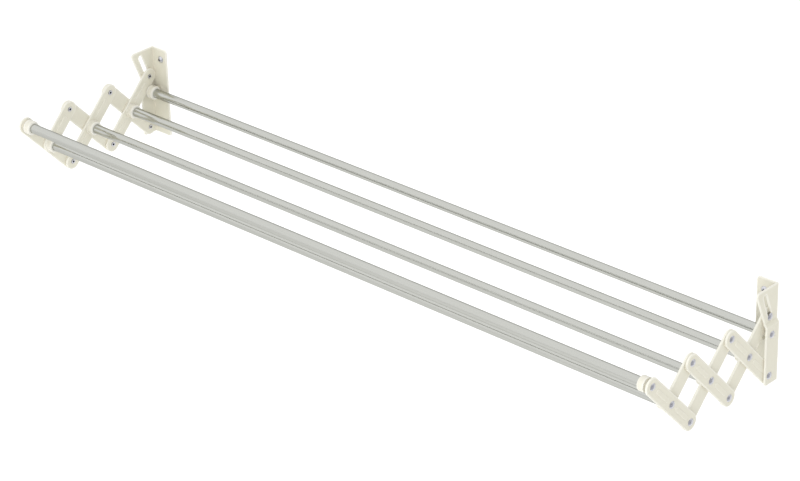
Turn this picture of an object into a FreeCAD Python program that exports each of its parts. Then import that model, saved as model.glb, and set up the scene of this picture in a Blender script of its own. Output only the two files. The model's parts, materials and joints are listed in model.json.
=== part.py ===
"""Wall mounted extending drying rack: two wall brackets, two sets of lazy tongs and five rods.

Millimetres. X runs along the wall, the wall is the plane Y = 0, the room is at -Y and Z is up.
The origin is the centre of the four wall screws. The rack is drawn fully extended.
"""
import FreeCAD, Part
import math
import os

import Sketcher

DIMENSIONS = [
    ("rack_width", 1000, "over the lower plates of the two brackets"),
    ("sheet_thick", 2.4, "bracket sheet"),
    ("flange_width", 30.4, "wall flange, from the bracket's outer face"),
    ("edge_top", 9, "bracket above the top end of the slot"),
    ("edge_bottom", 11.3, "bracket below the wall pivot"),
    ("slot_rise", 28.4, "height that the slot allows"),
    ("slot_lean", 20.4, "slot, degrees from vertical, leaning into the room"),
    ("slot_width", 6.3, "slot"),
    ("slot_border", 16.3, "slot plate in front of the slot's top end"),
    ("plate_border", 8, "lower plate in front of the wall pivot"),
    ("joggle_height", 3.8, "height of the step between slot plate and lower plate"),
    ("joggle_drop", 6.4, "start of that step below the slot pin"),
    ("corner_round", 4, "rounded corners of the bracket outline"),
    ("sheet_round", 0.7, "rounded edges of the bracket sheet"),
    ("wall_clearance", 0.6, "arm end to the wall flange"),
    ("arm_pitch", 50.2, "pivot to pivot, half of a long arm"),
    ("rest_angle", 43.5, "arms when extended, degrees from the upright of the tongs"),
    ("rest_tilt", 1.2, "rise of the extended tongs into the room, degrees"),
    ("arm_width", 21, "arm"),
    ("arm_thick", 2.8, "arm"),
    ("arm_round", 0.9, "rounded edges of an arm"),
    ("rib_width", 5.5, "raised stiffening rib on an arm"),
    ("rib_height", 0.4, "raised stiffening rib on an arm"),
    ("rib_setback", 10.2, "rib end to pivot"),
    ("rib_round", 0.35, "rounded edge of a rib"),
    ("layer_gap", 0.3, "between outer and inner arms"),
    ("plate_gap", 0.6, "between an outer arm and the lower plate"),
    ("fit_gap", 0.05, "radial clearance of a pivot in its hole"),
    ("run_gap", 0.1, "axial clearance under a rivet end that turns"),
    ("rod_dia", 12, "rod tube"),
    ("rod_wall", 1, "rod tube"),
    ("rod_one_drop", 21.7, "first rod below the slot pin"),
    ("rod_one_gap", 1.2, "first rod socket to the wall flange"),
    ("socket_dia", 18, "rod socket"),
    ("socket_length", 9, "rod socket"),
    ("socket_floor", 2, "rod socket, thickness behind the rod's end"),
    ("mouth_round", 1.6, "rounded mouth of a rod socket"),
    ("spacer_dia", 9, "spacer behind the first and last rod sockets"),
    ("shank_dia", 4.4, "pivot rivet"),
    ("slot_pin_dia", 3.6, "rivet that slides in the slot"),
    ("collar_dia", 8, "collar of that rivet, between slot plate and arm"),
    ("collar_height", 0.7, "collar of that rivet"),
    ("head_dia", 9, "rivet head"),
    ("head_height", 1.9, "rivet head"),
    ("tail_dia", 6, "rolled end of a rivet"),
    ("tail_height", 0.8, "rolled end of a rivet"),
    ("tail_round", 0.35, "rolled end of a rivet"),
    ("tail_bore", 2.8, "hollow end of a rivet"),
    ("tail_bore_depth", 3, "hollow end of a rivet"),
    ("screw_inset", 14.4, "wall screw to the bracket's top or bottom edge"),
    ("screw_setback", 19.7, "wall screw to the bracket's outer face"),
    ("screw_hole_dia", 4.5, "hole in the wall flange"),
    ("screw_dia", 4, "wall screw, over its thread"),
    ("screw_neck_dia", 3.6, "wall screw, in the bracket"),
    ("screw_length", 12, "wall screw under its head"),
    ("screw_tip", 3, "pointed end of a wall screw"),
    ("screw_head_dia", 9, "wall screw"),
    ("screw_head_height", 2.6, "wall screw"),
    ("recess_width", 1.2, "cross recess in a wall screw"),
    ("recess_span", 4.4, "cross recess in a wall screw"),
    ("recess_depth", 1.3, "cross recess in a wall screw"),
]

# Sizes that follow from the ones above. Names that end in _x are measured outward from the middle
# of the rack, depths from the wall into the room, and names that end in _z upward from the origin.
DERIVED = [
    ("plate_out_x", "rack_width / 2"),
    ("plate_in_x", "plate_out_x - sheet_thick"),
    ("flange_in_x", "plate_out_x - flange_width"),
    ("outer_arm_out_x", "plate_in_x - plate_gap"),
    ("outer_arm_in_x", "outer_arm_out_x - arm_thick"),
    ("inner_arm_out_x", "outer_arm_in_x - layer_gap"),
    ("slot_plate_in_x", "inner_arm_out_x + collar_height + run_gap"),
    ("slot_plate_out_x", "slot_plate_in_x + sheet_thick"),
    ("joggle", "plate_out_x - slot_plate_out_x"),
    ("inner_arm_in_x", "inner_arm_out_x - arm_thick"),
    ("free_socket_x", "inner_arm_in_x - rib_height - layer_gap"),
    ("outer_run", "arm_pitch * sin(rest_angle - rest_tilt)"),
    ("outer_rise", "arm_pitch * cos(rest_angle - rest_tilt)"),
    ("inner_run", "arm_pitch * sin(rest_angle + rest_tilt)"),
    ("inner_drop", "arm_pitch * cos(rest_angle + rest_tilt)"),
    ("pin_depth", "sheet_thick + wall_clearance + arm_width / 2"),
    ("pivot_depth", "pin_depth - outer_run + inner_run"),
    ("pin_rise", "outer_rise + inner_drop"),
    ("height", "edge_bottom + pin_rise + slot_rise + edge_top"),
    ("pivot_z", "edge_bottom - height / 2"),
    ("pin_z", "pivot_z + pin_rise"),
    ("slot_run", "slot_rise * tan(slot_lean)"),
    ("slot_plate_depth", "pin_depth + slot_run + slot_border"),
    ("plate_depth", "pivot_depth + plate_border"),
    ("joggle_top_z", "pin_z - joggle_drop"),
    ("joggle_low_z", "joggle_top_z - joggle_height"),
    ("bend_shift", "sheet_thick * (sqrt(joggle ^ 2 + joggle_height ^ 2) - joggle_height) / joggle"),
    ("rod_one_depth", "sheet_thick + rod_one_gap + socket_dia / 2"),
    ("rod_one_z", "pin_z - rod_one_drop"),
    ("screw_x", "plate_out_x - screw_setback"),
    ("screw_z", "height / 2 - screw_inset"),
    ("pin_stop", "(slot_width - slot_pin_dia) / 2 - fit_gap"),
]

SIDES = [("right", 1), ("left", -1)]
ARM_LEVELS = 3

doc = FreeCAD.newDocument("drying_rack")
sheet = doc.addObject("Spreadsheet::Sheet", "dims")
for row, (alias, value, note) in enumerate(DIMENSIONS, start=1):
    sheet.set(f"A{row}", alias)
    sheet.set(f"B{row}", str(value))
    sheet.set(f"C{row}", note)
    sheet.setAlias(f"B{row}", alias)
for row, (alias, formula) in enumerate(DERIVED, start=len(DIMENSIONS) + 2):
    sheet.set(f"A{row}", alias)
    sheet.set(f"B{row}", f"={formula}")
    sheet.setAlias(f"B{row}", alias)
doc.recompute()

sub_parts = []


def number(text):
    """Present value of an expression."""
    return float(sheet.evalExpression(text))


def lattice_point(outer_halves, inner_halves):
    """Depth and height of a pivot, counted in half arms from the wall pivot: up along outer arms,
    then down along inner arms."""
    depth = f"(dims.pivot_depth + {outer_halves} * dims.outer_run + {inner_halves} * dims.inner_run)"
    height = f"(dims.pivot_z + {outer_halves} * dims.outer_rise - {inner_halves} * dims.inner_drop)"
    return depth, height


def crossing(level):
    """Where the arms of a level cross, 1 next to the wall."""
    return lattice_point(level, level - 1)


def top_pivot(level):
    """Upper end of a level's outer arm, 0 for the slot pin."""
    return lattice_point(level + 1, level - 1)


def bottom_pivot(level):
    """Lower end of a level's inner arm."""
    return lattice_point(level, level)


# ---- sketches ----

def new_body(label):
    body = doc.addObject("PartDesign::Body", label)
    body.Label = label
    sub_parts.append(body)
    return body


def new_sketch(body, name, role, offset=None):
    """Sketch on one of the body's own origin planes, moved along its normal by an expression."""
    sketch = body.newObject("Sketcher::SketchObject", f"{body.Name}_{name}")
    plane = next(item for item in body.Origin.OriginFeatures if item.Role == role)
    sketch.AttachmentSupport = [(plane, "")]
    sketch.MapMode = "FlatFace"
    if offset:
        sketch.setExpression(".AttachmentOffset.Base.z", offset)
    return sketch


def bind(sketch, kind, *arguments, text):
    """Dimension tied to an expression."""
    index = sketch.addConstraint(Sketcher.Constraint(kind, *arguments, number(text)))
    sketch.setExpression(f"Constraints[{index}]", text)


def pin_point(sketch, geometry, position, point):
    bind(sketch, "DistanceX", -1, 1, geometry, position, text=point[0])
    bind(sketch, "DistanceY", -1, 1, geometry, position, text=point[1])


def draw_outline(sketch, corners, dome=False):
    """Closed outline through corners, pairs of expressions. A dome starts it with an arc about the
    horizontal axis."""
    points = [FreeCAD.Vector(number(x), number(y), 0) for x, y in corners]
    count = len(points)
    for index, start in enumerate(points):
        end = points[(index + 1) % count]
        if dome and index == 0:
            radius = ((start.x - end.x) ** 2 + end.y ** 2) / (2 * (start.x - end.x))
            centre = FreeCAD.Vector(start.x - radius, 0, 0)
            circle = Part.Circle(centre, FreeCAD.Vector(0, 0, 1), radius)
            sweep = math.atan2(end.y, end.x - centre.x)
            sketch.addGeometry(Part.ArcOfCircle(circle, 0, sweep))
            sketch.addConstraint(Sketcher.Constraint("PointOnObject", 0, 3, -1))
        else:
            sketch.addGeometry(Part.LineSegment(start, end))
    for index, corner in enumerate(corners):
        sketch.addConstraint(Sketcher.Constraint("Coincident", (index - 1) % count, 2, index, 1))
        pin_point(sketch, index, 1, corner)


def draw_stadium(sketch, low, high, radius):
    """Two half circles about the points low and high, joined by tangent lines."""
    first = sketch.GeometryCount
    start = FreeCAD.Vector(number(low[0]), number(low[1]), 0)
    end = FreeCAD.Vector(number(high[0]), number(high[1]), 0)
    along = (end - start).normalize()
    size = number(radius)
    across = FreeCAD.Vector(-along.y, along.x, 0) * size
    heading = math.atan2(along.y, along.x)
    up = FreeCAD.Vector(0, 0, 1)
    far_arc = Part.Circle(end, up, size)
    near_arc = Part.Circle(start, up, size)
    quarter = math.pi / 2
    sketch.addGeometry(Part.ArcOfCircle(far_arc, heading - quarter, heading + quarter))
    sketch.addGeometry(Part.LineSegment(end + across, start + across))
    sketch.addGeometry(Part.ArcOfCircle(near_arc, heading + quarter, heading + 3 * quarter))
    sketch.addGeometry(Part.LineSegment(start - across, end - across))
    for index in range(4):
        following = first + (index + 1) % 4
        sketch.addConstraint(Sketcher.Constraint("Tangent", first + index, 2, following, 1))
    pin_point(sketch, first, 3, high)
    pin_point(sketch, first + 2, 3, low)
    sketch.addConstraint(Sketcher.Constraint("Equal", first, first + 2))
    bind(sketch, "Radius", first, text=radius)


def draw_circle(sketch, centre, radius):
    index = sketch.GeometryCount
    middle = FreeCAD.Vector(number(centre[0]), number(centre[1]), 0)
    sketch.addGeometry(Part.Circle(middle, FreeCAD.Vector(0, 0, 1), number(radius)))
    pin_point(sketch, index, 3, centre)
    bind(sketch, "Radius", index, text=radius)


# ---- features ----

def pad(body, sketch, length, reverse=False):
    feature = body.newObject("PartDesign::Pad", f"{sketch.Name}_pad")
    feature.Profile = sketch
    feature.setExpression("Length", length)
    feature.Reversed = reverse
    doc.recompute()
    return feature


def cut_through(body, sketch, reverse=False):
    before = body.Shape.Volume
    feature = body.newObject("PartDesign::Pocket", f"{sketch.Name}_cut")
    feature.Profile = sketch
    feature.Type = "ThroughAll"
    feature.Reversed = reverse
    doc.recompute()
    if not body.Shape.Volume < before:
        raise RuntimeError(f"{feature.Name} removes nothing")


def round_edges(body, feature, radius, wanted):
    """Fillet of the feature's edges for which wanted(edge) is true."""
    names = [f"Edge{n}" for n, edge in enumerate(feature.Shape.Edges, start=1) if wanted(edge)]
    fillet = body.newObject("PartDesign::Fillet", f"{feature.Name}_round")
    fillet.Base = (feature, names)
    fillet.setExpression("Radius", radius)
    doc.recompute()
    return fillet


def near(value, target):
    return abs(value - target) < 1e-4


def flat_at(axis, place):
    """Test for an edge that lies wholly in the plane where a coordinate has one value."""
    def test(edge):
        box = edge.BoundBox
        low = getattr(box, f"{axis}Min")
        high = getattr(box, f"{axis}Max")
        return near(low, place) and near(high, place)
    return test


def place(part, x, y, z):
    part.setExpression(".Placement.Base.x", x)
    part.setExpression(".Placement.Base.y", y)
    part.setExpression(".Placement.Base.z", z)


def turned(label, corners, dome=False):
    """Body turned about the X axis from a half section, pairs of expressions."""
    body = new_body(label)
    sketch = new_sketch(body, "section", "XY_Plane")
    draw_outline(sketch, corners, dome)
    revolution = body.newObject("PartDesign::Revolution", f"{body.Name}_turn")
    revolution.Profile = sketch
    revolution.ReferenceAxis = (sketch, ["H_Axis"])
    revolution.Angle = 360
    doc.recompute()
    return body, revolution


def face_outward(body, side, x, middle):
    """Places a turned body so that its +X end points away from the middle of the rack. middle is its
    depth and height."""
    if side < 0:
        body.Placement.Rotation = FreeCAD.Rotation(FreeCAD.Vector(0, 0, 1), 180)
    place(body, f"{side} * {x}", f"-{middle[0]}", middle[1])


# ---- sub-parts ----

def make_bracket():
    """Right bracket: wall flange and side plate in one bent sheet. The side plate's lower part steps
    outward, so that the first outer arm fits behind it."""
    body = new_body("bracket_right")
    half = "dims.height / 2"
    outside = [
        ("dims.plate_out_x", f"-{half}"),
        ("dims.plate_out_x", "dims.joggle_low_z"),
        ("dims.slot_plate_out_x", "dims.joggle_top_z"),
        ("dims.slot_plate_out_x", half),
    ]
    flange = new_sketch(body, "flange", "XZ_Plane")
    draw_outline(flange, [("dims.flange_in_x", f"-{half}"), *outside, ("dims.flange_in_x", half)])
    pad(body, flange, "dims.sheet_thick")
    strip = new_sketch(body, "plate", "XZ_Plane")
    inside = [
        ("dims.slot_plate_in_x", half),
        ("dims.slot_plate_in_x", "dims.joggle_top_z - dims.bend_shift"),
        ("dims.plate_in_x", "dims.joggle_low_z - dims.bend_shift"),
        ("dims.plate_in_x", f"-{half}"),
    ]
    draw_outline(strip, outside + inside)
    pad(body, strip, "dims.slot_plate_depth")

    front = new_sketch(body, "front", "YZ_Plane")
    beyond = "-2 * dims.slot_plate_depth"
    draw_outline(front, [
        ("-dims.plate_depth", "-dims.height"),
        ("-dims.plate_depth", "dims.joggle_top_z"),
        ("-dims.slot_plate_depth", half),
        ("-dims.slot_plate_depth", "dims.height"),
        (beyond, "dims.height"),
        (beyond, "-dims.height"),
    ])
    cut_through(body, front, reverse=True)

    openings = new_sketch(body, "openings", "YZ_Plane")
    slot_foot = (
        "-dims.pin_depth - dims.pin_stop * sin(dims.slot_lean)",
        "dims.pin_z + dims.pin_stop * cos(dims.slot_lean)",
    )
    slot_head = ("-dims.pin_depth - dims.slot_run", "dims.pin_z + dims.slot_rise")
    draw_stadium(openings, slot_foot, slot_head, "dims.slot_width / 2")
    rivet_hole = "dims.shank_dia / 2 + dims.fit_gap"
    draw_circle(openings, ("-dims.pivot_depth", "dims.pivot_z"), rivet_hole)
    draw_circle(openings, ("-dims.rod_one_depth", "dims.rod_one_z"), rivet_hole)
    cut_through(body, openings, reverse=True)

    screws = new_sketch(body, "screws", "XZ_Plane")
    for height in ("dims.screw_z", "-dims.screw_z"):
        draw_circle(screws, ("dims.screw_x", height), "dims.screw_hole_dia / 2")
    cut_through(body, screws, reverse=True)

    corners = round_edges(body, body.Tip, "dims.corner_round", is_bracket_corner)
    round_edges(body, corners, "dims.sheet_round", is_bracket_rim)
    return body


def is_bracket_corner(edge):
    """Short edges through the sheet at the flange's free corners and the plate's front corners."""
    box = edge.BoundBox
    at_end = near(box.ZMin, box.ZMax) and near(abs(box.ZMin), number("dims.height / 2"))
    free_flange = flat_at("X", number("dims.flange_in_x"))(edge)
    front = near(box.YMin, box.YMax) and box.YMax < near_plate_front()
    return at_end and (free_flange or front)


def is_bracket_rim(edge):
    """Edges along the rims of the flange and the side plate."""
    box = edge.BoundBox
    end_rim = near(box.ZMin, box.ZMax) and near(abs(box.ZMin), number("dims.height / 2"))
    flange_rim = flat_at("X", number("dims.flange_in_x"))(edge)
    front_rim = flat_at("Y", -number("dims.plate_depth"))(edge)
    reach = number("dims.slot_plate_depth - dims.plate_depth") / 2
    slanted_rim = near(box.XMin, box.XMax) and box.YMax < near_plate_front() and box.YLength > reach
    return end_rim or flange_rim or front_rim or slanted_rim


def near_plate_front():
    """Coordinate just behind the lower plate's front rim."""
    return 0.01 - number("dims.plate_depth")


def make_arm(label, out, layer, middle, lean, pivots, pin_hole=False):
    """Flat arm with rounded ends and raised ribs, drawn upright about its crossing.

    out is +1 or -1, the way along X that the ribbed face looks. pivots are the arm's ends in half
    lengths from the crossing. pin_hole gives the upper end the slot pin's hole."""
    body = new_body(label)
    low, high = pivots
    edge = new_sketch(body, "outline", "YZ_Plane")
    ends = [("0", f"{end} * dims.arm_pitch") for end in pivots]
    draw_stadium(edge, *ends, "dims.arm_width / 2")
    plate = pad(body, edge, "dims.arm_thick", reverse=out > 0)
    ribbed_face = flat_at("X", 0)
    plain_face = flat_at("X", -out * number("dims.arm_thick"))
    round_edges(body, plate, "dims.arm_round", lambda item: ribbed_face(item) or plain_face(item))

    ribs = new_sketch(body, "ribs", "YZ_Plane")
    inset = "(dims.rib_setback + dims.rib_width / 2)"
    for foot in range(low, high):
        rib_low = ("0", f"{foot} * dims.arm_pitch + {inset}")
        rib_high = ("0", f"{foot + 1} * dims.arm_pitch - {inset}")
        draw_stadium(ribs, rib_low, rib_high, "dims.rib_width / 2")
    raised = pad(body, ribs, "dims.rib_height", reverse=out < 0)
    round_edges(body, raised, "dims.rib_round", flat_at("X", out * number("dims.rib_height")))

    holes = new_sketch(body, "holes", "YZ_Plane")
    for pivot in range(low, high + 1):
        shank = "dims.slot_pin_dia" if pin_hole and pivot == high else "dims.shank_dia"
        draw_circle(holes, ("0", f"{pivot} * dims.arm_pitch"), f"{shank} / 2 + dims.fit_gap")
    cut_through(body, holes, reverse=out < 0)

    body.Placement.Rotation = FreeCAD.Rotation(FreeCAD.Vector(1, 0, 0), 1)
    body.setExpression(".Placement.Rotation.Angle", lean)
    place(body, layer, f"-{middle[0]}", middle[1])


def make_rod(label, base, middle):
    """Tube between the floors of its two sockets."""
    half = f"({base} - dims.socket_floor - dims.run_gap)"
    bore = "dims.rod_dia / 2 - dims.rod_wall"
    body, _ = turned(label, [
        (f"-{half}", bore),
        (half, bore),
        (half, "dims.rod_dia / 2"),
        (f"-{half}", "dims.rod_dia / 2"),
    ])
    place(body, "0", f"-{middle[0]}", middle[1])


def make_socket(label, side, base, middle):
    """Moulded cup that holds a rod's end, with a hole in its floor for the rivet."""
    hole = "dims.shank_dia / 2 + dims.fit_gap"
    bore = "dims.rod_dia / 2 + dims.fit_gap"
    body, cup = turned(label, [
        ("0", hole),
        ("0", "dims.socket_dia / 2"),
        ("-dims.socket_length", "dims.socket_dia / 2"),
        ("-dims.socket_length", bore),
        ("-dims.socket_floor", bore),
        ("-dims.socket_floor", hole),
    ])
    at_mouth = flat_at("X", -number("dims.socket_length"))
    full_width = number("dims.socket_dia")
    round_edges(body, cup, "dims.mouth_round",
                lambda item: at_mouth(item) and near(item.BoundBox.YLength, full_width))
    face_outward(body, side, base, middle)


def make_spacer(label, side, outer_face, base, middle):
    """Sleeve on the rivet between a plate or arm and a socket that stands off it."""
    hole = "dims.shank_dia / 2 + dims.fit_gap"
    length = f"({outer_face} - {base})"
    body, _ = turned(label, [
        ("0", hole),
        ("0", "dims.spacer_dia / 2"),
        (f"-{length}", "dims.spacer_dia / 2"),
        (f"-{length}", hole),
    ])
    face_outward(body, side, outer_face, middle)


def make_rivet(label, side, head_face, tail_face, middle, shank="dims.shank_dia", collar=()):
    """Round headed rivet with a hollow end that is rolled over at the tail face.

    collar is empty or the two places along X between which the shank is thicker."""
    grip = f"({head_face} - {tail_face})"
    end = f"-{grip} - dims.tail_height"
    bottom = f"{end} + dims.tail_bore_depth"
    corners = [
        ("dims.head_height", "0"),
        ("0", "dims.head_dia / 2"),
        ("0", f"{shank} / 2"),
    ]
    if collar:
        near_end, far_end = (f"{face} - {head_face}" for face in collar)
        corners += [
            (near_end, f"{shank} / 2"),
            (near_end, "dims.collar_dia / 2"),
            (far_end, "dims.collar_dia / 2"),
            (far_end, f"{shank} / 2"),
        ]
    corners += [
        (f"-{grip}", f"{shank} / 2"),
        (f"-{grip}", "dims.tail_dia / 2"),
        (end, "dims.tail_dia / 2"),
        (end, "dims.tail_bore / 2"),
        (bottom, "dims.tail_bore / 2"),
        (bottom, "0"),
    ]
    body, blank = turned(label, corners, dome=True)
    round_edges(body, blank, "dims.tail_round", flat_at("X", number(end)))
    face_outward(body, side, head_face, middle)


def make_wall_screw(label, side, height):
    """Pan head screw with a cross recess, a neck in the bracket and a threaded part, drawn plain, that
    ends in a point."""
    body, _ = turned(label, [
        ("dims.screw_head_height", "0"),
        ("0", "dims.screw_head_dia / 2"),
        ("0", "dims.screw_neck_dia / 2"),
        ("-dims.sheet_thick", "dims.screw_neck_dia / 2"),
        ("-dims.sheet_thick", "dims.screw_dia / 2"),
        ("-dims.screw_length + dims.screw_tip", "dims.screw_dia / 2"),
        ("-dims.screw_length", "0"),
    ], dome=True)
    cross = new_sketch(body, "recess", "YZ_Plane", "dims.screw_head_height")
    arm = "dims.recess_span / 2"
    half = "dims.recess_width / 2"
    quarter = [(half, arm), (half, half), (arm, half)]
    corners = []
    for index, (right, up) in enumerate([(1, 1), (1, -1), (-1, -1), (-1, 1)]):
        points = quarter if index % 2 == 0 else quarter[::-1]
        corners += [(f"{right} * {x}", f"{up} * {y}") for x, y in points]
    draw_outline(cross, corners)
    recess = body.newObject("PartDesign::Pocket", f"{body.Name}_recess_cut")
    recess.Profile = cross
    recess.setExpression("Length", "dims.recess_depth")
    doc.recompute()
    body.Placement.Rotation = FreeCAD.Rotation(FreeCAD.Vector(0, 0, 1), -90)
    place(body, f"{side} * dims.screw_x", "-dims.sheet_thick", height)


def mirror_bracket(source):
    """Left bracket, the right one in a mirror."""
    left = doc.addObject("Part::Mirroring", "bracket_left")
    left.Label = "bracket_left"
    left.Source = source
    left.Normal = FreeCAD.Vector(1, 0, 0)
    left.Base = FreeCAD.Vector(0, 0, 0)
    doc.recompute()
    sub_parts.append(left)


# ---- assembly ----

mirror_bracket(make_bracket())

rods = [(1, "dims.free_socket_x", ("dims.rod_one_depth", "dims.rod_one_z"))]
for level in range(1, ARM_LEVELS + 1):
    rods.append((level + 1, "dims.inner_arm_in_x", crossing(level)))
last_rod = ARM_LEVELS + 2
rods.append((last_rod, "dims.free_socket_x", top_pivot(ARM_LEVELS)))
for count, base, middle in rods:
    make_rod(f"rod_{count}", base, middle)

for hand, side in SIDES:
    for name, height in (("upper", "dims.screw_z"), ("lower", "-dims.screw_z")):
        make_wall_screw(f"wall_screw_{name}_{hand}", side, height)
    for level in range(1, ARM_LEVELS + 1):
        make_arm(f"outer_arm_{level}_{hand}", side, f"{side} * dims.outer_arm_out_x",
                 crossing(level), "dims.rest_angle - dims.rest_tilt", (-1, 1))
        short = level == ARM_LEVELS
        name = "inner_half_arm" if short else f"inner_arm_{level}"
        make_arm(f"{name}_{hand}", -side, f"{side} * dims.inner_arm_in_x",
                 crossing(level), "-dims.rest_angle - dims.rest_tilt", (0 if short else -1, 1),
                 pin_hole=level == 1)
    for count, base, middle in rods:
        make_socket(f"rod_socket_{count}_{hand}", side, base, middle)
        head_face = "(dims.outer_arm_out_x + dims.run_gap)"
        if count == 1:
            head_face = "dims.plate_out_x"
            make_spacer(f"rod_spacer_{count}_{hand}", side, "dims.plate_in_x", base, middle)
        elif count == last_rod:
            head_face = "dims.outer_arm_out_x"
            make_spacer(f"rod_spacer_{count}_{hand}", side, "dims.outer_arm_in_x", base, middle)
        tail_face = f"({base} - dims.socket_floor)"
        make_rivet(f"rod_rivet_{count}_{hand}", side, head_face, tail_face, middle)
    make_rivet(f"wall_pivot_rivet_{hand}", side, "dims.plate_out_x",
               "(dims.outer_arm_in_x - dims.run_gap)", ("dims.pivot_depth", "dims.pivot_z"))
    make_rivet(f"slot_rivet_{hand}", side, "(dims.slot_plate_out_x + dims.run_gap)",
               "dims.inner_arm_in_x", top_pivot(0), shank="dims.slot_pin_dia",
               collar=("(dims.slot_plate_in_x - dims.run_gap)", "dims.inner_arm_out_x"))
    for level in range(1, ARM_LEVELS):
        for name, middle in (("top", top_pivot(level)), ("bottom", bottom_pivot(level))):
            make_rivet(f"{name}_rivet_{level}_{hand}", side, "dims.outer_arm_out_x",
                       "(dims.inner_arm_in_x - dims.run_gap)", middle)

doc.recompute()
faults = [item.Name for item in doc.Objects if {"Invalid", "Error"} & set(item.State)]
if faults:
    raise RuntimeError(f"features that failed: {faults}")
for part in sub_parts:
    if part.Shape.isNull() or not part.Shape.isValid() or len(part.Shape.Solids) != 1:
        raise RuntimeError(f"{part.Label} is not one valid solid")
os.makedirs("parts", exist_ok=True)
for part in sub_parts:
    part.Shape.exportStep(f"parts/{part.Label}.step")
print(f"{len(sub_parts)} parts written")
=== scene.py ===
"""The looks of a wall mounted drying rack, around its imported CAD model.

Lengths are in metres and angles in degrees.
"""

import json
import math

import bpy
from mathutils import Matrix, Vector

# Camera
CAMERA_PLACE = (2.108, -2.3238, 1.5969)
CAMERA_AZIMUTH = 43.1
CAMERA_ELEVATION = 27.77
CAMERA_ROLL = -1.444
CAMERA_LENS_MM = 131.76
CAMERA_SENSOR_MM = 36

# Room: the rack hangs at chest height over a pale floor
MOUNTING_HEIGHT = 1.35
FLOOR_SIDE = 40
FLOOR_COLOUR = (0.86, 0.86, 0.855)

# White sky: its strength, how much it drops in the shade, and the directions over which the shade
# grows, backwards along Y and downwards along Z
SKY_BRIGHT = 1.12
SKY_SHADE = 0.55
SHADE_BACK = (0.0, 0.7)
SHADE_LOW = (0.6, 0.0)

# Upright grey card to the right of the rack: its two ends seen from above, its bottom and its top
CARD_ENDS = ((1.75, 0.6), (0.62, -2.0))
CARD_LOW, CARD_HIGH = -1.3, 0.8
CARD_COLOUR = (0.46, 0.46, 0.48)

# Broad lights that neither show nor reflect: name, place, what they face, sides, watts
SOFT_LIGHTS = (
    ("floor_wash", (-2.0, 2.3, 0.2), (-2.0, 2.3, -1), (3.6, 4.2), 26),
    ("front_fill", (1.0, -3.1, -0.2), (0, 0, 0), (2.4, 2.0), 32),
    ("camera_fill", (2.0, -2.15, 1.55), (0, 0, 0), (0.9, 0.9), 9),
)

# Colours, linear
CREAM = (0.662, 0.642, 0.541)
CREAM_WARM = (0.652, 0.63, 0.525)
# Painted highlight along the edges of the powder coat
CREAM_EDGE_HIGHLIGHT = (0.75, 0.738, 0.66)
# Painted shade in hollows, on powder coat and plastic
CREAM_HOLLOW_SHADE = (0.61, 0.58, 0.465)
# Painted shade along creases
CREAM_CREASE_SHADE = (0.47, 0.44, 0.34)
# Painted light in narrow gaps, lifting their shade
CREAM_GAP_LIGHT = (0.88, 0.845, 0.74)
IVORY = (0.69, 0.67, 0.583)
IVORY_WARM = (0.675, 0.65, 0.562)
# Painted highlight along the edges of the plastic
IVORY_EDGE_HIGHLIGHT = (0.735, 0.725, 0.67)
STEEL = (0.56, 0.565, 0.535)
STEEL_DARK = (0.525, 0.53, 0.495)
STEEL_RIM = (0.55, 0.55, 0.53)
ZINC = (0.67, 0.675, 0.72)
ZINC_DARK = (0.58, 0.585, 0.63)
# Painted shade around the foot of a rivet or screw head
ZINC_FOOT_SHADE = (0.4, 0.405, 0.43)
# Painted light: matt grey that lifts the shade on zinc lying deep between pieces
ZINC_SUNK_LIGHT = (0.5, 0.48, 0.42)
# Painted shade inside a rivet's hollow end
BORE_SHADE = (0.006, 0.006, 0.01)

# How far each painted highlight, shade and light looks for other surface
EDGE_REACH = 0.0022
HOLLOW_REACH = 0.009
CREASE_REACH = 0.0015
RIM_REACH = 0.003
BORE_REACH = 0.004
REACH_SAMPLES = 12

# Openness where each painted highlight, shade and light starts and where it is full, and for some
# the most that it covers
EDGE_BAND = (0.99, 0.7)
CREASE_BAND = (0.97, 0.8, 0.3)
CREASE_FADE = (0.4, 0.7)
HOLLOW_SHADE_BAND = (0.95, 0.2, 0.15)
GAP_BAND = (0.62, 0.35)
IVORY_HOLLOW_SHADE_BAND = (0.95, 0.2, 0.3)
RIM_BAND = (0.85, 0.5)
BORE_BAND = (0.8, 0.65)
SUNK_BAND = (0.45, 0.3)

# Hollow rivet ends lie nearer to the middle of the rack than this
BORE_LIMIT = 0.4945

# Noises: features to the metre, and detail
COAT_PATCHES = (38, 3)
COAT_SPECKS = (1900, 1)
COAT_GLOSS = (160, 3)
COAT_PEEL = (700, 2)
IVORY_FLOW = (60, 4)
IVORY_GLOSS = (220, 2)
IVORY_PEEL = (400, 2)
STEEL_STREAKS = (3200, 3)
STEEL_CLOUDS = (45, 3)
ZINC_SCUFFS = (700, 3)
PAINT_MOTTLE = (2.5, 3)

# Part of a noise's range that is used, and how far noises are drawn out along the rods
NOISE_LOW, NOISE_HIGH = 0.3, 0.7
FLOW_STRETCH = (0.4, 1, 1)
STREAK_STRETCH = (0.02, 1, 1)
CLOUD_STRETCH = (0.3, 1, 1)

# The most that a noise mixes in of its second colour
SPECK_SHARE = 0.2
STREAK_SHARE = 0.6
CLOUD_SHARE = 0.25
SCUFF_SHARE = 0.3

# Depths of the fine relief
COAT_PEEL_DEPTH = 0.00001
IVORY_PEEL_DEPTH = 0.000006
STREAK_DEPTH = 0.00000003
SCUFF_DEPTH = 0.0000008

# Roughness, from least to most
COAT_ROUGH = (0.36, 0.44)
IVORY_ROUGH = (0.22, 0.3)
STEEL_ROUGH = (0.11, 0.15)
ZINC_ROUGH = (0.26, 0.32)

# Matt paint: darker tone as a share of its colour, least share of the colour, roughness
PAINT_SHADE = 0.97
PAINT_LEAST = 0.97
PAINT_ROUGH = 0.9


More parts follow.
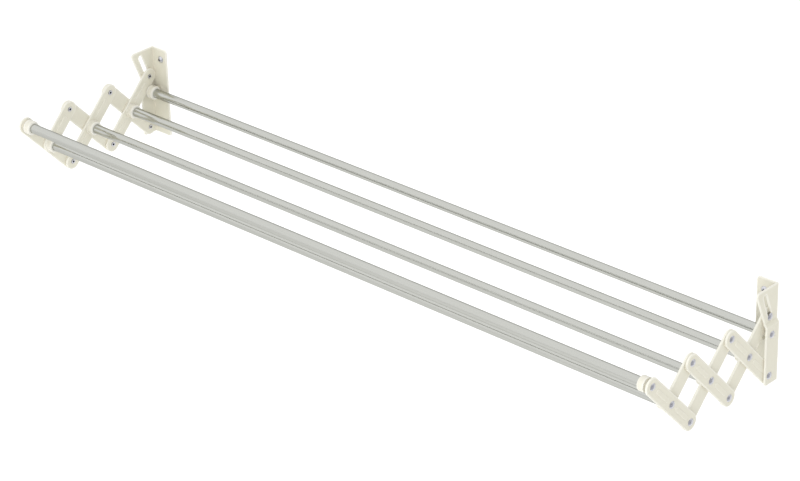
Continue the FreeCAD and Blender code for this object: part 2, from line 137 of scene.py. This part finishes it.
class Nodes:
    """A material's node tree, with short ways to add and link its nodes."""

    def __init__(self, name):
        self.material = bpy.data.materials.new(name)
        self.material.use_nodes = True
        self.tree = self.material.node_tree
        self.shader = self.tree.nodes["Principled BSDF"]
        self.place = self.add("ShaderNodeTexCoord").outputs["Object"]

    def add(self, kind, inputs=(), **settings):
        """A new node, with values or links for its inputs."""
        node = self.tree.nodes.new(kind)
        for key, value in settings.items():
            setattr(node, key, value)
        for key, value in dict(inputs).items():
            self.feed(node.inputs[key], value)
        return node

    def feed(self, socket, value):
        """Links a socket to another, or sets its value."""
        if isinstance(value, bpy.types.NodeSocket):
            self.tree.links.new(value, socket)
        else:
            socket.default_value = value

    def stretched(self, factors):
        """Object coordinates scaled by a factor along each axis."""
        node = self.add("ShaderNodeMapping", {"Vector": self.place, "Scale": factors})
        return node.outputs["Vector"]

    def noise(self, scale, detail, place=None):
        """Noise between 0 and 1; scale is in features to the metre."""
        inputs = {"Vector": place or self.place, "Scale": scale, "Detail": detail}
        return self.add("ShaderNodeTexNoise", inputs).outputs["Fac"]

    def spread(self, value, low, high):
        """Noise stretched about its middle to run from low to high."""
        used = {"From Min": NOISE_LOW, "From Max": NOISE_HIGH}
        inputs = {"Value": value, **used, "To Min": low, "To Max": high}
        return self.add("ShaderNodeMapRange", inputs).outputs["Result"]

    def blend(self, factor, first, second):
        """Colour between first and second."""
        node = self.add("ShaderNodeMix", data_type="RGBA")
        self.feed(node.inputs["Factor"], factor)
        self.feed(node.inputs["A"], first if isinstance(first, bpy.types.NodeSocket) else (*first, 1))
        self.feed(node.inputs["B"], second if isinstance(second, bpy.types.NodeSocket) else (*second, 1))
        return node.outputs["Result"]

    def openness(self, reach, inside):
        """How open, from 0 to 1, a point is within a reach, outside or inside the solid."""
        inputs = {"Distance": reach}
        node = self.add("ShaderNodeAmbientOcclusion", inputs, inside=inside, samples=REACH_SAMPLES)
        return node.outputs["AO"]

    def ramp(self, value, start, stop, most=1.0):
        """0 where value is at start, up to most where it is at stop."""
        inputs = {"Value": value, "From Min": start, "From Max": stop, "To Max": most}
        return self.add("ShaderNodeMapRange", inputs).outputs["Result"]

    def edges(self):
        """0 on flat ground, 1 along an outer edge."""
        return self.ramp(self.openness(EDGE_REACH, True), *EDGE_BAND)

    def hollows(self, reach, start, stop, most=1.0):
        """0 where a point is as open as start, up to most where it is as hemmed in as stop."""
        return self.ramp(self.openness(reach, False), start, stop, most)

    def maths(self, operation, first, second=0.0):
        """Result of a calculation with one value or two."""
        node = self.add("ShaderNodeMath", operation=operation)
        self.feed(node.inputs[0], first)
        self.feed(node.inputs[1], second)
        return node.outputs["Value"]

    def bump(self, height, depth):
        """Normal of a surface raised by height times depth."""
        inputs = {"Height": height, "Distance": depth, "Strength": 1.0}
        return self.add("ShaderNodeBump", inputs).outputs["Normal"]

    def set(self, **sockets):
        """Values and links for the shader's sockets; an underscore stands for a space."""
        for key, value in sockets.items():
            self.feed(self.shader.inputs[key.replace("_", " ")], value)
        return self.material


def powder_coat():
    """Satin powder coat with a faint orange peel.

    It has painted highlights that make it paler over the edges, painted shade that makes it a little
    darker in hollows and darker along creases, and painted light that makes it light again in narrow
    gaps.
    """
    coat = Nodes("powder_coat_look")
    patches = coat.spread(coat.noise(*COAT_PATCHES), 0, 1)
    specks = coat.spread(coat.noise(*COAT_SPECKS), 0, SPECK_SHARE)
    tone = coat.blend(specks, coat.blend(patches, CREAM, CREAM_WARM), CREAM_WARM)
    wide = coat.openness(HOLLOW_REACH, False)
    near = coat.openness(CREASE_REACH, False)
    # Painted shade along creases, fading out in deep gaps
    crease = coat.maths("MULTIPLY", coat.ramp(near, *CREASE_BAND), coat.ramp(near, *CREASE_FADE))
    # Painted shade in hollows
    hollow_shaded = coat.blend(coat.ramp(wide, *HOLLOW_SHADE_BAND), tone, CREAM_HOLLOW_SHADE)
    # Painted highlight along the edges, laid over the painted crease shade
    shaded_and_highlit = coat.blend(coat.edges(), coat.blend(crease, hollow_shaded, CREAM_CREASE_SHADE), CREAM_EDGE_HIGHLIGHT)
    return coat.set(
        # Painted light in narrow gaps
        Base_Color=coat.blend(coat.ramp(wide, *GAP_BAND), shaded_and_highlit, CREAM_GAP_LIGHT),
        Roughness=coat.spread(coat.noise(*COAT_GLOSS), *COAT_ROUGH),
        Normal=coat.bump(coat.noise(*COAT_PEEL), COAT_PEEL_DEPTH),
        Coat_Weight=0.12,
        Coat_Roughness=0.25,
    )


def ivory_plastic():
    """Glossy moulded plastic, faint flow marks, painted shade in hollows, painted edge highlights."""
    plastic = Nodes("ivory_plastic_look")
    flow = plastic.noise(*IVORY_FLOW, plastic.stretched(FLOW_STRETCH))
    tone = plastic.blend(plastic.spread(flow, 0, 1), IVORY, IVORY_WARM)
    # Painted shade in hollows
    hollow_shaded = plastic.blend(plastic.hollows(HOLLOW_REACH, *IVORY_HOLLOW_SHADE_BAND), tone, CREAM_HOLLOW_SHADE)
    return plastic.set(
        # Painted highlight along the edges
        Base_Color=plastic.blend(plastic.edges(), hollow_shaded, IVORY_EDGE_HIGHLIGHT),
        Roughness=plastic.spread(plastic.noise(*IVORY_GLOSS), *IVORY_ROUGH),
        Normal=plastic.bump(plastic.noise(*IVORY_PEEL), IVORY_PEEL_DEPTH),
        Coat_Weight=0.15,
        Coat_Roughness=0.1,
    )


def rod_steel():
    """Drawn and polished steel tube: fine streaks run along its length."""
    steel = Nodes("rod_steel_look")
    streaks = steel.noise(*STEEL_STREAKS, steel.stretched(STREAK_STRETCH))
    clouds = steel.noise(*STEEL_CLOUDS, steel.stretched(CLOUD_STRETCH))
    tone = steel.blend(steel.spread(streaks, 0, STREAK_SHARE), STEEL, STEEL_DARK)
    return steel.set(
        Base_Color=steel.blend(steel.spread(clouds, 0, CLOUD_SHARE), tone, STEEL_DARK),
        Metallic=1.0,
        Roughness=steel.spread(clouds, *STEEL_ROUGH),
        Normal=steel.bump(streaks, STREAK_DEPTH),
        Specular_Tint=(*STEEL_RIM, 1),
    )


def zinc_plate():
    """Bluish zinc plate on rivets and screws.

    Painted shade makes it darker around a head's foot and almost black inside a rivet's hollow end,
    and painted light makes it matt grey where it lies deep between other pieces.
    """
    zinc = Nodes("zinc_plate_look")
    scuffs = zinc.noise(*ZINC_SCUFFS)
    tone = zinc.blend(zinc.spread(scuffs, 0, SCUFF_SHARE), ZINC, ZINC_DARK)
    # Painted shade around the foot of a head
    foot_shaded = zinc.blend(zinc.hollows(RIM_REACH, *RIM_BAND), tone, ZINC_FOOT_SHADE)
    across = zinc.add("ShaderNodeSeparateXYZ", {"Vector": zinc.place}).outputs["X"]
    inward = zinc.maths("LESS_THAN", zinc.maths("ABSOLUTE", across), BORE_LIMIT)
    deep = zinc.openness(BORE_REACH, False)
    # Painted shade inside a rivet's hollow end
    bore_shade = zinc.maths("MULTIPLY", inward, zinc.ramp(deep, *BORE_BAND))
    # Painted light: deep-lying zinc turns matt grey, lifting its shade
    sunk_lift = zinc.maths("MULTIPLY", zinc.maths("SUBTRACT", 1.0, inward), zinc.ramp(deep, *SUNK_BAND))
    return zinc.set(
        Base_Color=zinc.blend(sunk_lift, zinc.blend(bore_shade, foot_shaded, BORE_SHADE), ZINC_SUNK_LIGHT),
        Metallic=zinc.maths("SUBTRACT", 1.0, sunk_lift),
        Roughness=zinc.spread(scuffs, *ZINC_ROUGH),
        Normal=zinc.bump(scuffs, SCUFF_DEPTH),
    )


def matt_paint(name, colour):
    """Matt paint with a barely visible mottle."""
    paint = Nodes(name)
    mottle = paint.spread(paint.noise(*PAINT_MOTTLE), PAINT_LEAST, 1)
    shade = tuple(PAINT_SHADE * level for level in colour)
    return paint.set(Base_Color=paint.blend(mottle, shade, colour), Roughness=PAINT_ROUGH)


def dress_cad_nodes(nodes, record):
    """Gives each CAD node the look of its material slot in the record."""
    looks = {
        "powder_coat": powder_coat(),
        "ivory_plastic": ivory_plastic(),
        "rod_steel": rod_steel(),
        "zinc_steel": zinc_plate(),
    }
    for subpart in record["subparts"]:
        piece = nodes[subpart["node"]]
        piece.data.materials.clear()
        piece.data.materials.append(looks[subpart["material_slot"]])


def add_sheet(name, corners, colour):
    """A flat matt sheet of the studio, not part of the object."""
    mesh = bpy.data.meshes.new(name)
    mesh.from_pydata(corners, [], [(0, 1, 2, 3)])
    mesh.materials.append(matt_paint(name + "_look", colour))
    sheet = bpy.data.objects.new(name, mesh)
    bpy.context.scene.collection.objects.link(sheet)
    return sheet


def add_floor():
    """Pale floor, the mounting height below the origin."""
    half = FLOOR_SIDE / 2
    sides = ((-half, -half), (half, -half), (half, half), (-half, half))
    add_sheet("floor", [(x, y, -MOUNTING_HEIGHT) for x, y in sides], FLOOR_COLOUR)


def add_card():
    """Grey card beside the right end, seen only in bright metal: it darkens one side of each rivet."""
    near, far = CARD_ENDS
    corners = [(*near, CARD_LOW), (*far, CARD_LOW), (*far, CARD_HIGH), (*near, CARD_HIGH)]
    card = add_sheet("card", corners, CARD_COLOUR)
    card.visible_camera = card.visible_diffuse = card.visible_shadow = False


def add_world():
    """White all round, and about half as bright low down behind the wall's plane."""
    world = bpy.data.worlds.new("studio")
    world.use_nodes = True
    tree = world.node_tree

    def ramp(source, start, stop):
        node = tree.nodes.new("ShaderNodeMapRange")
        node.interpolation_type = "SMOOTHSTEP"
        node.inputs["From Min"].default_value = start
        node.inputs["From Max"].default_value = stop
        tree.links.new(source, node.inputs["Value"])
        return node.outputs["Result"]

    axes = tree.nodes.new("ShaderNodeSeparateXYZ")
    tree.links.new(tree.nodes.new("ShaderNodeTexCoord").outputs["Generated"], axes.inputs["Vector"])
    product = tree.nodes.new("ShaderNodeMath")
    product.operation = "MULTIPLY"
    tree.links.new(ramp(axes.outputs["Y"], *SHADE_BACK), product.inputs[0])
    tree.links.new(ramp(axes.outputs["Z"], *SHADE_LOW), product.inputs[1])
    level = tree.nodes.new("ShaderNodeMath")
    level.operation = "MULTIPLY_ADD"
    level.inputs[1].default_value = -SKY_SHADE
    level.inputs[2].default_value = SKY_BRIGHT
    tree.links.new(product.outputs["Value"], level.inputs[0])
    tree.links.new(level.outputs["Value"], tree.nodes["Background"].inputs["Strength"])
    tree.nodes["Background"].inputs["Color"].default_value = (1, 1, 1, 1)
    bpy.context.scene.world = world


def add_soft_light(name, place, target, sides, watts):
    """Rectangular light that is seen neither by the camera nor in gloss."""
    lamp = bpy.data.lights.new(name, "AREA")
    lamp.shape = "RECTANGLE"
    lamp.size, lamp.size_y = sides
    lamp.energy = watts
    light = bpy.data.objects.new(name, lamp)
    light.location = place
    light.rotation_euler = (Vector(target) - Vector(place)).to_track_quat("-Z", "Y").to_euler()
    light.visible_camera = False
    light.visible_glossy = False
    bpy.context.scene.collection.objects.link(light)


def add_camera():
    """Camera in front of the rack, above it and to its right."""
    azimuth = math.radians(CAMERA_AZIMUTH)
    elevation = math.radians(CAMERA_ELEVATION)
    level = math.cos(elevation)
    back = Vector((math.sin(azimuth) * level, -math.cos(azimuth) * level, math.sin(elevation)))
    right = Vector((0, 0, 1)).cross(back).normalized()
    turn = Matrix((right, back.cross(right), back)).transposed()
    data = bpy.data.cameras.new("camera")
    data.lens = CAMERA_LENS_MM
    data.sensor_width = CAMERA_SENSOR_MM
    camera = bpy.data.objects.new("camera", data)
    roll = Matrix.Rotation(math.radians(CAMERA_ROLL), 3, "Z")
    camera.matrix_world = Matrix.Translation(CAMERA_PLACE) @ (turn @ roll).to_4x4()
    bpy.context.scene.collection.objects.link(camera)
    bpy.context.scene.camera = camera


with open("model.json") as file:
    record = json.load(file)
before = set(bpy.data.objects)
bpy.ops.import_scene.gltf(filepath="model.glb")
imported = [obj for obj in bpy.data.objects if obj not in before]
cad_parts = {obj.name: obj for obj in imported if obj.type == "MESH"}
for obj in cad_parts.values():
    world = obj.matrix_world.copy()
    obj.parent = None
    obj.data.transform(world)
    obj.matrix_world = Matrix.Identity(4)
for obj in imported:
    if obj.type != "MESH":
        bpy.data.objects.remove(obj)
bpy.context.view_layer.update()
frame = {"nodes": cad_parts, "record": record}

dress_cad_nodes(frame["nodes"], frame["record"])
add_floor()
add_card()
add_world()
for soft_light in SOFT_LIGHTS:
    add_soft_light(*soft_light)
add_camera()
bpy.context.scene.view_settings.view_transform = "Standard"
